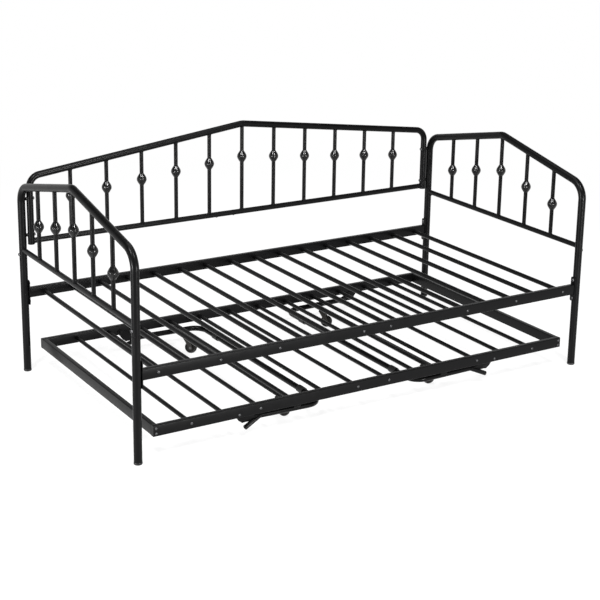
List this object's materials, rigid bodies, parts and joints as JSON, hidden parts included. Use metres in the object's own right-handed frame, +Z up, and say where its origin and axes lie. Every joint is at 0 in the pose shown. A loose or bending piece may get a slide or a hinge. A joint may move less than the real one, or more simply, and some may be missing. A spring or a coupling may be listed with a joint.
{
  "type": "trundle bed",
  "caption": "Steel daybed with arched, spindled side and back panels over a slatted deck, and a roll-out slatted trundle on swivel casters with fold-down legs.",
  "frame": {"origin": "on the floor, under the middle of the bed's footprint", "axes": "+X along the bed, to the right of someone facing it; -Y is the open front that the trundle rolls out of; +Z up"},
  "size_m": [1.98, 1.0455, 0.9173],
  "materials": {
    "black_powder_coat": "satin black powder coat",
    "black_plastic": "matte black moulded cap",
    "caster_rubber": "worn satin black moulded wheel",
    "caster_steel": "black-finished pressed steel"
  },
  "bodies": {
    "daybed": {"leg_front_left": "black_powder_coat", "leg_front_right": "black_powder_coat", "leg_rear_left": "black_powder_coat", "leg_rear_right": "black_powder_coat", "foot_cap_front_left": "black_plastic", "foot_cap_front_right": "black_plastic", "foot_cap_rear_left": "black_plastic", "foot_cap_rear_right": "black_plastic", "side_panel_left": "black_powder_coat", "side_panel_right": "black_powder_coat", "back_panel_left": "black_powder_coat", "back_panel_right": "black_powder_coat", "deck_rail_front": "black_powder_coat", "deck_rail_rear": "black_powder_coat", "deck_slat_01": "black_powder_coat", "deck_slat_02": "black_powder_coat", "deck_slat_03": "black_powder_coat", "deck_slat_04": "black_powder_coat", "deck_slat_05": "black_powder_coat", "deck_slat_06": "black_powder_coat", "deck_slat_07": "black_powder_coat", "deck_slat_08": "black_powder_coat", "deck_slat_09": "black_powder_coat", "deck_slat_10": "black_powder_coat", "deck_slat_11": "black_powder_coat", "deck_slat_12": "black_powder_coat", "deck_slat_13": "black_powder_coat", "deck_slat_14": "black_powder_coat", "deck_slat_15": "black_powder_coat", "deck_slat_16": "black_powder_coat"},
    "trundle": {"trundle_rail_front": "black_powder_coat", "trundle_rail_rear": "black_powder_coat", "trundle_end_rail_left": "black_powder_coat", "trundle_end_rail_right": "black_powder_coat", "trundle_slat_01": "black_powder_coat", "trundle_slat_02": "black_powder_coat", "trundle_slat_03": "black_powder_coat", "trundle_slat_04": "black_powder_coat", "trundle_slat_05": "black_powder_coat", "trundle_slat_06": "black_powder_coat", "trundle_slat_07": "black_powder_coat", "trundle_slat_08": "black_powder_coat", "trundle_slat_09": "black_powder_coat", "trundle_slat_10": "black_powder_coat", "trundle_slat_11": "black_powder_coat", "trundle_slat_12": "black_powder_coat", "caster_bar_left": "black_powder_coat", "caster_bar_right": "black_powder_coat"},
    "fold_leg_left": {"fold_leg_left": "black_powder_coat"},
    "fold_leg_right": {"fold_leg_right": "black_powder_coat"},
    "caster_fork_front_left": {"caster_fork_front_left": "caster_steel"},
    "caster_wheel_front_left": {"caster_wheel_front_left": "caster_rubber"},
    "caster_fork_front_right": {"caster_fork_front_right": "caster_steel"},
    "caster_wheel_front_right": {"caster_wheel_front_right": "caster_rubber"},
    "caster_fork_rear_left": {"caster_fork_rear_left": "caster_steel"},
    "caster_wheel_rear_left": {"caster_wheel_rear_left": "caster_rubber"},
    "caster_fork_rear_right": {"caster_fork_rear_right": "caster_steel"},
    "caster_wheel_rear_right": {"caster_wheel_rear_right": "caster_rubber"}
  },
  "joints": [
    {"name": "trundle_roll", "type": "slide", "parent": "daybed", "child": "trundle", "axis": [0, -1, 0], "range_m": [0, 1.05]},
    {"name": "fold_leg_left_swing", "type": "hinge", "parent": "trundle", "child": "fold_leg_left", "pos_m": [-0.572, 0.005, 0.0957], "axis": [0, 1, 0], "range_deg": [0, 102]},
    {"name": "fold_leg_right_swing", "type": "hinge", "parent": "trundle", "child": "fold_leg_right", "pos_m": [0.572, 0.005, 0.0957], "axis": [0, -1, 0], "range_deg": [0, 102]},
    {"name": "caster_front_left_swivel", "type": "hinge", "parent": "trundle", "child": "caster_fork_front_left", "pos_m": [-0.33, -0.369, 0.0744], "axis": [0, 0, 1], "continuous": true},
    {"name": "caster_front_left_roll", "type": "hinge", "parent": "caster_fork_front_left", "child": "caster_wheel_front_left", "pos_m": [-0.32251, -0.38754, 0.025], "axis": [0.9272, 0.3746, 0], "continuous": true},
    {"name": "caster_front_right_swivel", "type": "hinge", "parent": "trundle", "child": "caster_fork_front_right", "pos_m": [0.33, -0.369, 0.0744], "axis": [0, 0, 1], "continuous": true},
    {"name": "caster_front_right_roll", "type": "hinge", "parent": "caster_fork_front_right", "child": "caster_wheel_front_right", "pos_m": [0.33651, -0.38791, 0.025], "axis": [0.9455, 0.3256, 0], "continuous": true},
    {"name": "caster_rear_left_swivel", "type": "hinge", "parent": "trundle", "child": "caster_fork_rear_left", "pos_m": [-0.33, 0.379, 0.0744], "axis": [0, 0, 1], "continuous": true},
    {"name": "caster_rear_left_roll", "type": "hinge", "parent": "caster_fork_rear_left", "child": "caster_wheel_rear_left", "pos_m": [-0.31468, 0.36614, 0.025], "axis": [0.6428, 0.766, 0], "continuous": true},
    {"name": "caster_rear_right_swivel", "type": "hinge", "parent": "trundle", "child": "caster_fork_rear_right", "pos_m": [0.33, 0.379, 0.0744], "axis": [0, 0, 1], "continuous": true},
    {"name": "caster_rear_right_roll", "type": "hinge", "parent": "caster_fork_rear_right", "child": "caster_wheel_rear_right", "pos_m": [0.34597, 0.36696, 0.025], "axis": [0.6018, 0.7986, 0], "continuous": true}
  ]
}
